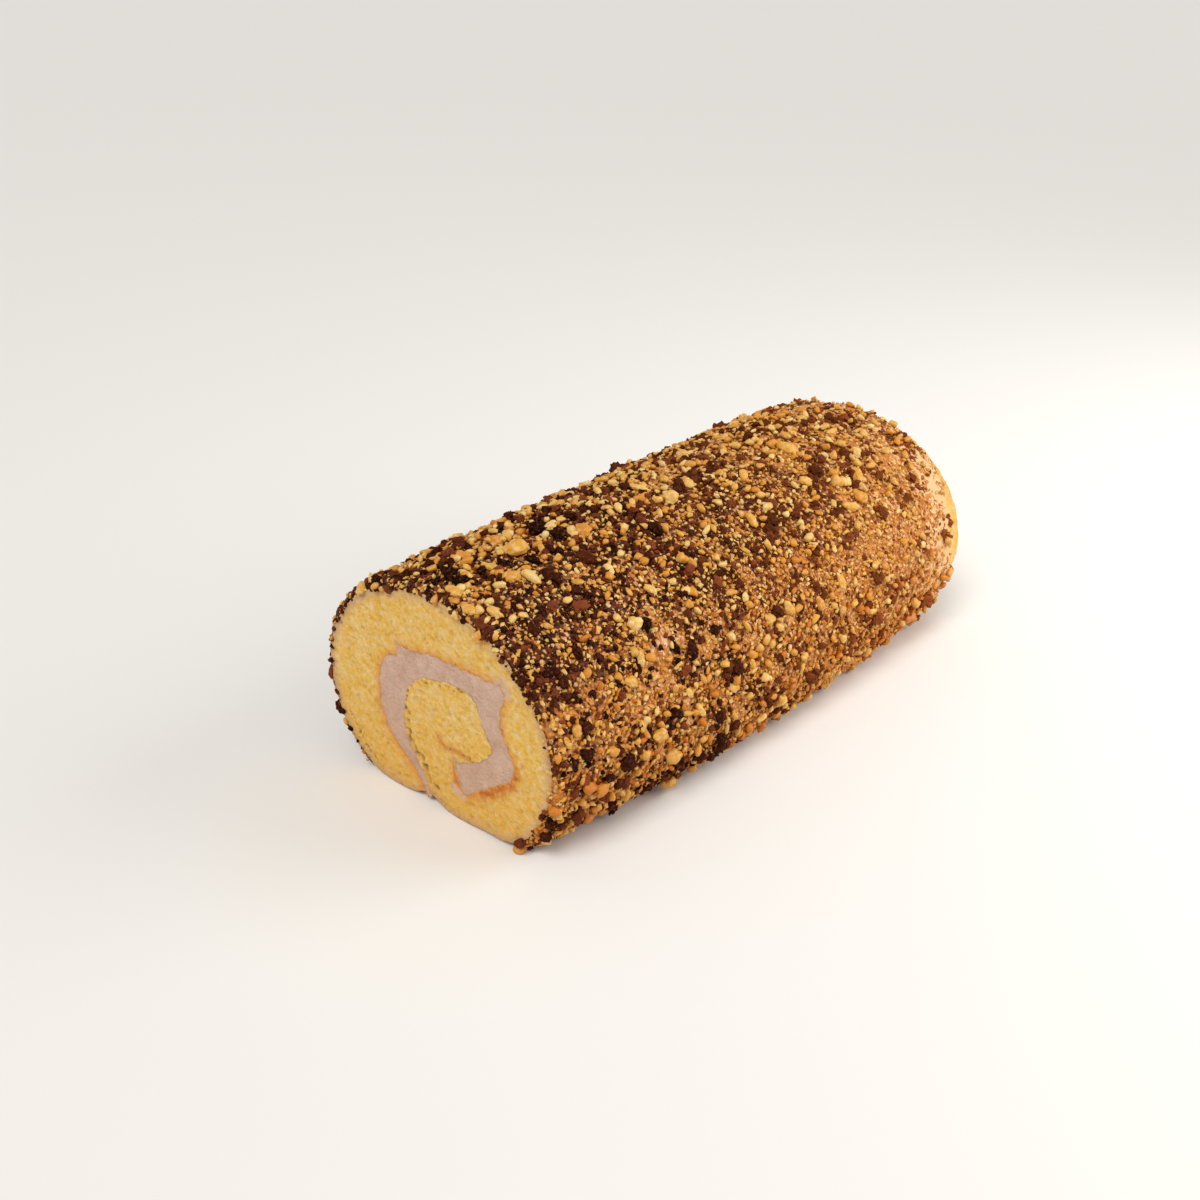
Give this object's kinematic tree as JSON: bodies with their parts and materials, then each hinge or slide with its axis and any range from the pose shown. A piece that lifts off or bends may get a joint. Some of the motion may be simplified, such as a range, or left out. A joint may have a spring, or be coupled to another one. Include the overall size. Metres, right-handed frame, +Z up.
{
  "type": "yule log",
  "caption": "Rolled sponge log cake with a spiral of cream in it, coated on its top and sides with chopped nuts and chocolate biscuit crumbs.",
  "frame": {"origin": "middle of the bounding box's base, on the surface that the roll lies on", "axes": "+X along the roll, from the cut face that the picture shows to the far end; +Z up; -Y is the long side that the picture shows"},
  "size_m": [0.218, 0.1139, 0.0803],
  "materials": {
    "sponge": "soft yellow sponge cake with fine pores",
    "cream": "matt lilac-brown whipped cream",
    "crumb_coat": "tan cream under chopped golden nuts and dark chocolate biscuit crumbs"
  },
  "bodies": {
    "root": {"sponge": "sponge", "cream_filling": "cream", "crumb_coat": "crumb_coat"}
  },
  "joints": []
}
